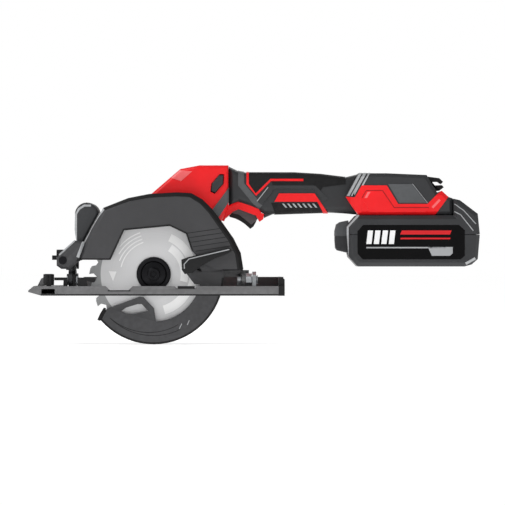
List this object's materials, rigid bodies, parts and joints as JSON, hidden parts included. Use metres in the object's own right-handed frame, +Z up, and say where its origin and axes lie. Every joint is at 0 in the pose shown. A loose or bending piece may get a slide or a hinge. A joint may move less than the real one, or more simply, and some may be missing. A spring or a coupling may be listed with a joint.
{
  "type": "circular saw",
  "caption": "Cordless circular saw with a tilting sole plate, swinging depth setting, sprung lower blade guard, in-line grip and slide-off battery pack.",
  "frame": {"origin": "on the sole plate's underside, straight below the arbor, on the handle's middle plane", "axes": "+X back towards the battery, -Y towards the blade's side, +Z up from the sole"},
  "size_m": [0.399, 0.1205, 0.1585],
  "materials": {
    "guard_casting": "dark gray textured paint on cast metal",
    "base_metal": "gray coated cast aluminium",
    "gray_plastic": "dark gray moulded, fine texture",
    "red_plastic": "satin red moulded",
    "rubber": "matt black soft rubber",
    "black_plastic": "black moulded",
    "steel": "bright zinc plated",
    "dark_steel": "black oxide",
    "blade_steel": "ground with a clear coat",
    "copper": "enamelled copper wire",
    "circuit_board": "green solder mask",
    "cell_can": "shrink wrapped can"
  },
  "bodies": {
    "base": {"base_plate": "base_metal", "front_bevel_quadrant": "base_metal", "rear_bevel_bracket": "steel", "front_pivot_bolt": "steel", "rear_pivot_bolt": "steel"},
    "bevel_frame": {"front_tilt_bracket": "base_metal", "rear_tilt_bracket": "base_metal", "depth_guide": "steel", "depth_pivot_pin": "dark_steel"},
    "saw_head": {"upper_guard": "guard_casting", "gear_housing": "guard_casting", "gear_cover": "guard_casting", "guard_spring": "steel", "arbor_bearing_front": "steel", "arbor_bearing_rear": "steel", "motor_case": "gray_plastic", "motor_end_cap": "black_plastic", "stator": "dark_steel", "windings": "copper", "rotor_bearing_front": "steel", "rotor_bearing_rear": "steel", "motor_cover_left": "red_plastic", "motor_cover_right": "red_plastic", "handle_left": "gray_plastic", "handle_right": "gray_plastic", "adapter_left": "gray_plastic", "adapter_right": "gray_plastic", "front_grip": "gray_plastic", "trigger_bezel": "red_plastic", "switch_body": "black_plastic", "controller_board": "circuit_board", "terminal_block": "black_plastic", "key_clip": "black_plastic"},
    "blade": {"saw_blade": "blade_steel", "inner_flange": "dark_steel", "outer_flange": "dark_steel", "blade_bolt": "dark_steel", "arbor_shaft": "steel", "arbor_gear": "steel"},
    "rotor": {"rotor_core": "dark_steel", "rotor_shaft": "steel", "cooling_fan": "black_plastic", "motor_pinion": "steel"},
    "lower_guard": {"lower_guard": "guard_casting", "guard_lever": "black_plastic", "guard_bumper": "rubber"},
    "trigger": {"trigger": "black_plastic"},
    "lock_off": {"lock_off_button": "black_plastic"},
    "spindle_lock": {"spindle_lock": "black_plastic"},
    "depth_clamp": {"depth_lever": "black_plastic"},
    "bevel_clamp": {"bevel_knob": "black_plastic"},
    "fence_clamp": {"fence_screw": "black_plastic"},
    "battery": {"battery_case_bottom": "gray_plastic", "battery_case_top": "gray_plastic", "battery_cell_1": "cell_can", "battery_cell_2": "cell_can", "battery_cell_3": "cell_can", "battery_cell_4": "cell_can", "battery_cell_5": "cell_can"},
    "battery_latch": {"battery_release": "gray_plastic"}
  },
  "joints": [
    {"name": "bevel_tilt", "type": "hinge", "parent": "base", "child": "bevel_frame", "pos_m": [0, -0.035, 0.014], "axis": [1, 0, 0], "range_deg": [0, 50]},
    {"name": "depth_swing", "type": "hinge", "parent": "bevel_frame", "child": "saw_head", "pos_m": [-0.08, -0.03, 0.031], "axis": [0, -1, 0], "range_deg": [0, 27.5]},
    {"name": "blade_spin", "type": "hinge", "parent": "saw_head", "child": "blade", "pos_m": [0, -0.035, 0.0188], "axis": [0, -1, 0], "continuous": true},
    {"name": "rotor_spin", "type": "hinge", "parent": "saw_head", "child": "rotor", "pos_m": [0.00547, 0.014, 0.03384], "axis": [0, -1, 0], "continuous": true},
    {"name": "lower_guard_swing", "type": "hinge", "parent": "saw_head", "child": "lower_guard", "pos_m": [0, -0.035, 0.0188], "axis": [0, -1, 0], "range_deg": [0, 118], "stiffness_Nm_per_rad": 0.06, "springref_deg": -40.11},
    {"name": "trigger_pull", "type": "hinge", "parent": "saw_head", "child": "trigger", "pos_m": [0.07, 0, 0.08], "axis": [0, -1, 0], "range_deg": [0, 12], "stiffness_Nm_per_rad": 0.3, "springref_deg": -8.59},
    {"name": "lock_off_press", "type": "slide", "parent": "saw_head", "child": "lock_off", "axis": [0, 1, 0], "range_m": [0, 0.003], "stiffness_N_per_m": 400, "springref_m": -0.002},
    {"name": "spindle_lock_press", "type": "slide", "parent": "saw_head", "child": "spindle_lock", "axis": [1, 0, 0], "range_m": [0, 0.0015], "stiffness_N_per_m": 500, "springref_m": -0.002},
    {"name": "depth_clamp_turn", "type": "hinge", "parent": "saw_head", "child": "depth_clamp", "pos_m": [0.036, -0.018, 0.031], "axis": [0, -1, 0], "range_deg": [0, 35]},
    {"name": "bevel_clamp_turn", "type": "hinge", "parent": "bevel_frame", "child": "bevel_clamp", "pos_m": [-0.077, -0.01766, 0.02754], "axis": [1, 0, 0], "range_deg": [0, 35]},
    {"name": "fence_clamp_turn", "type": "hinge", "parent": "base", "child": "fence_clamp", "pos_m": [-0.09255, -0.042, 0.012], "axis": [0, 0, 1], "continuous": true},
    {"name": "battery_slide", "type": "slide", "parent": "saw_head", "child": "battery", "axis": [1, 0, 0], "range_m": [0, 0.06]},
    {"name": "battery_latch_press", "type": "slide", "parent": "battery", "child": "battery_latch", "axis": [1, 0, 0], "range_m": [0, 0.003], "stiffness_N_per_m": 500, "springref_m": -0.002}
  ],
  "couplings": [
    {"joint": "rotor_spin", "follows": "blade_spin", "ratio": -4}
  ]
}
